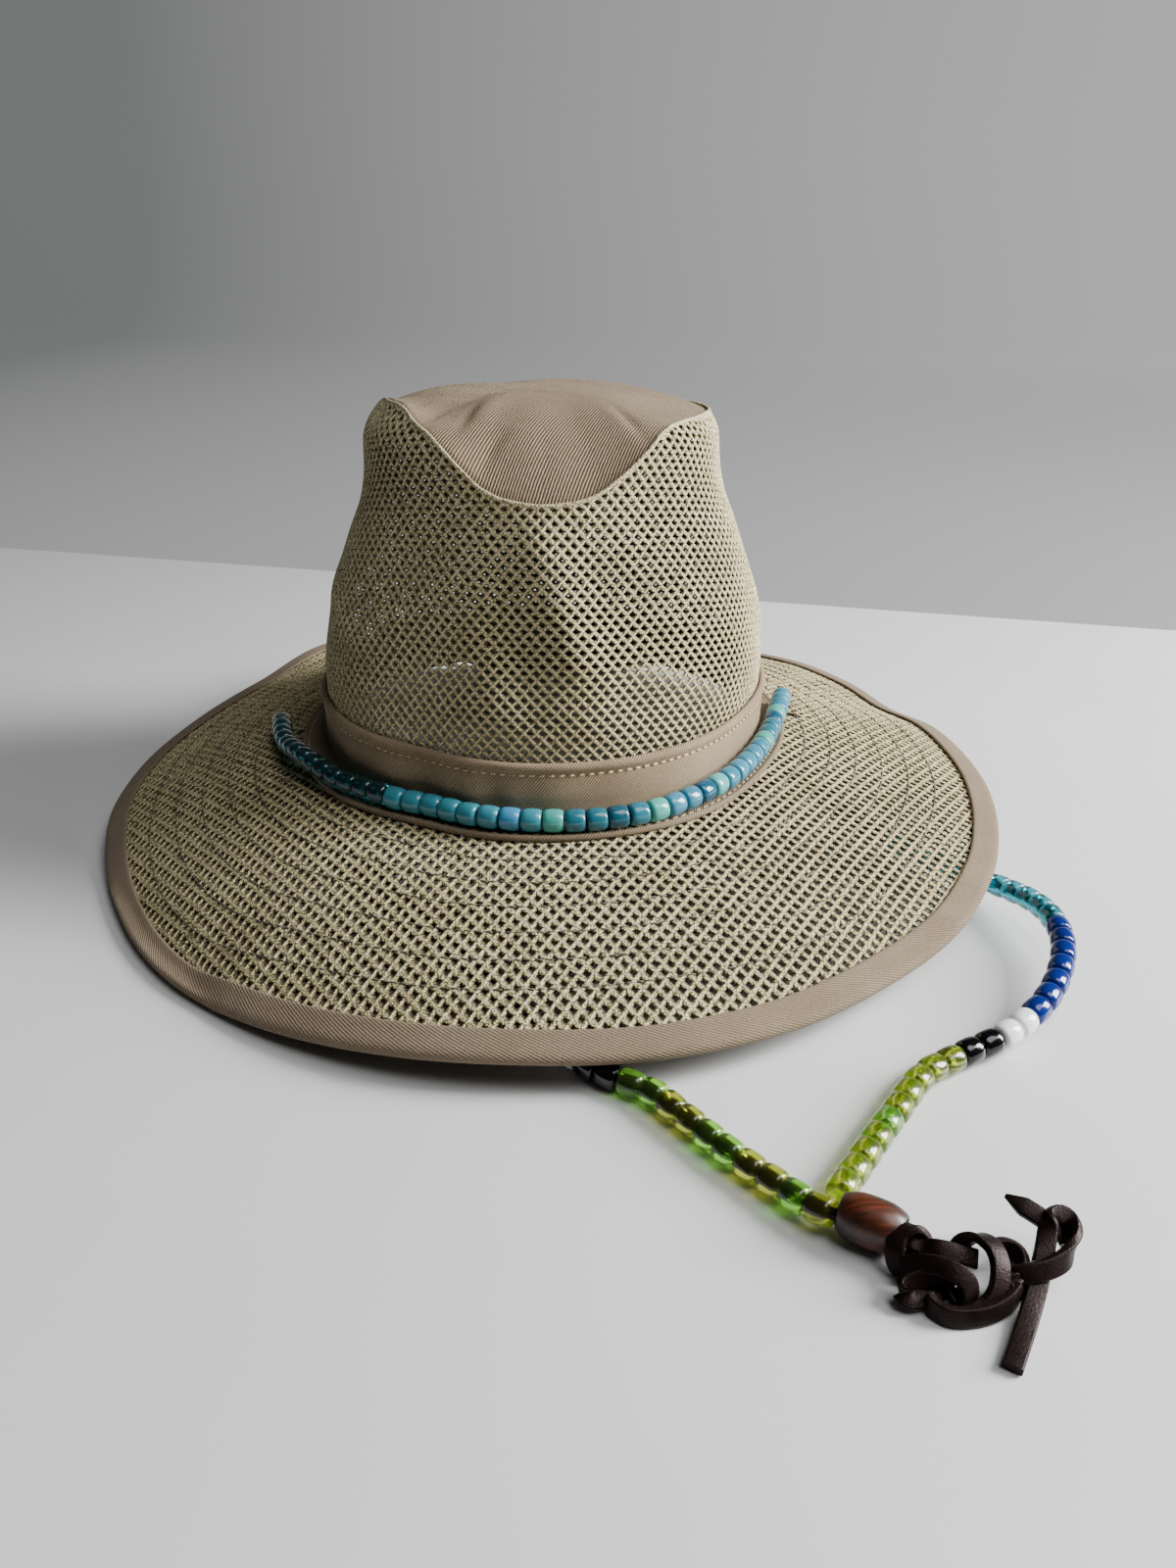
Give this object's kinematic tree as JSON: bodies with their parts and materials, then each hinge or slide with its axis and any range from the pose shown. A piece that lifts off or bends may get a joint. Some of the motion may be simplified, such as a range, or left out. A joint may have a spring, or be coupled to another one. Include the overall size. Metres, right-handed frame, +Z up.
{
  "type": "safari hat with beaded chin strap",
  "caption": "Net safari hat with twill top, band and bound brim, and a chin strap of blue, green, black and white beads with a wooden slide and knotted leather lace.",
  "frame": {"origin": "middle of the whole footprint, on the surface that the hat and its strap rest on", "axes": "+Z up, the hat faces -Y, +X is to the right of someone who looks at its front"},
  "size_m": [0.376, 0.4926, 0.182],
  "materials": {
    "net": "open knitted net",
    "twill": "cotton twill",
    "beads": "glossy, in many colours",
    "wood": "lacquered",
    "leather": "smooth dark lace"
  },
  "bodies": {
    "root": {"crown_net": "net", "crown_top": "twill", "crown_band": "twill", "brim_tape": "twill", "brim_net": "net", "brim_binding": "twill", "bead_string_right": "beads", "bead_string_left": "beads", "wood_slide": "wood", "lace_knot": "leather"}
  },
  "joints": []
}
